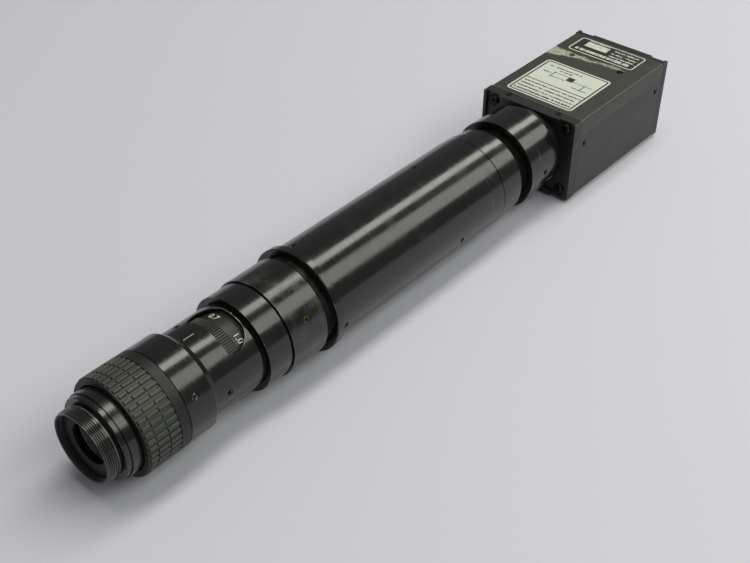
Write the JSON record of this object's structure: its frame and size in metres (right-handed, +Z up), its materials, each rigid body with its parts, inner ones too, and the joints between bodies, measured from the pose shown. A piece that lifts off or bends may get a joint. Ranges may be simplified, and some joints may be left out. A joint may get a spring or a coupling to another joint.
{
  "type": "machine vision camera",
  "caption": "Cylindrical zoom microscope lens with a ribbed rubber focus grip and an oval zoom window, on a long tube and coupler, screwed to a small box camera.",
  "frame": {"origin": "middle of the length, under the optical axis, at the height of the surface it lies on", "axes": "+X along the optical axis from the lens to the back of the camera; +Z up; +Y to the left when looking along +X"},
  "size_m": [0.2664, 0.0384, 0.0344],
  "materials": {
    "black_anodised": "satin black anodised",
    "grey_anodised": "bead-blasted dark grey anodised",
    "bright_edge": "bare turned metal",
    "grip_rubber": "dusty moulded rubber",
    "camera_paint": "fine textured grey-green paint",
    "dark_steel": "black oxide",
    "bright_steel": "plain",
    "brass": "plain",
    "glass": "coated",
    "circuit_board": "solder mask",
    "black_plastic": "moulded",
    "nickel": "nickel plated",
    "white_plastic": "moulded"
  },
  "bodies": {
    "housing": {"front_barrel": "black_anodised", "front_barrel_screws": "dark_steel", "zoom_barrel": "black_anodised", "zoom_barrel_screws": "dark_steel", "guide_tube": "bright_edge", "rear_ring": "black_anodised", "rear_lens_cell": "black_anodised", "rear_lens": "glass", "coupling_ring": "black_anodised", "coupling_screws": "brass", "tube_flange": "black_anodised", "main_tube": "black_anodised", "tube_front_screws": "dark_steel", "tube_rear_screws": "dark_steel", "tube_lens_cell": "black_anodised", "tube_lens": "glass", "tube_lens_retainer": "black_anodised", "tube_baffle": "black_anodised", "band_ring": "black_anodised", "step_ring": "black_anodised", "adapter_ring": "black_anodised", "coupler_front_ring": "black_anodised", "coupler_rear_ring": "black_anodised", "coupler_screws": "brass", "front_frame": "camera_paint", "rear_frame": "camera_paint", "upper_cover": "camera_paint", "lower_cover": "camera_paint", "corner_rails": "bright_edge", "front_screws": "dark_steel", "rear_screws": "dark_steel", "strip_screws": "dark_steel", "side_screws": "bright_steel", "top_mount_bar": "bright_steel", "bottom_mount_bar": "bright_steel", "ir_filter": "glass", "image_sensor": "black_plastic", "sensor_board": "circuit_board", "signal_board": "circuit_board", "power_board": "circuit_board", "board_posts": "brass", "bnc_shell": "nickel", "bnc_insulator": "white_plastic", "bnc_contact": "brass", "power_shell": "nickel", "power_insert": "black_plastic", "power_pins": "brass"},
    "front_cell": {"front_nose": "black_anodised", "front_retainer": "black_anodised", "front_lens": "glass"},
    "focus_ring": {"focus_ring": "grey_anodised", "focus_grip": "grip_rubber"},
    "zoom_ring": {"zoom_ring": "grey_anodised", "cam_tube": "bright_edge"},
    "variator": {"variator_cell": "black_anodised", "variator_lens": "glass", "variator_pins": "bright_steel"},
    "compensator": {"compensator_cell": "black_anodised", "compensator_lens": "glass", "compensator_pins": "bright_steel"}
  },
  "joints": [
    {"name": "focus_turn", "type": "hinge", "parent": "housing", "child": "focus_ring", "pos_m": [-0.11635, 0, 0.0172], "axis": [1, 0, 0], "range_deg": [-135, 135]},
    {"name": "focus_travel", "type": "slide", "parent": "housing", "child": "front_cell", "axis": [1, 0, 0], "range_m": [-0.0015, 0.0015]},
    {"name": "zoom_turn", "type": "hinge", "parent": "housing", "child": "zoom_ring", "pos_m": [-0.08455, 0, 0.0172], "axis": [1, 0, 0], "range_deg": [-123, 12]},
    {"name": "variator_travel", "type": "slide", "parent": "housing", "child": "variator", "axis": [1, 0, 0], "range_m": [-0.0055, 0.0006]},
    {"name": "compensator_travel", "type": "slide", "parent": "housing", "child": "compensator", "axis": [1, 0, 0], "range_m": [-0.0004, 0.0037]}
  ],
  "couplings": [
    {"joint": "focus_travel", "follows": "focus_turn", "m_per_rad": 0.00063662},
    {"joint": "variator_travel", "follows": "zoom_turn", "m_per_rad": 0.0025465},
    {"joint": "compensator_travel", "follows": "zoom_turn", "m_per_rad": -0.0016977}
  ]
}
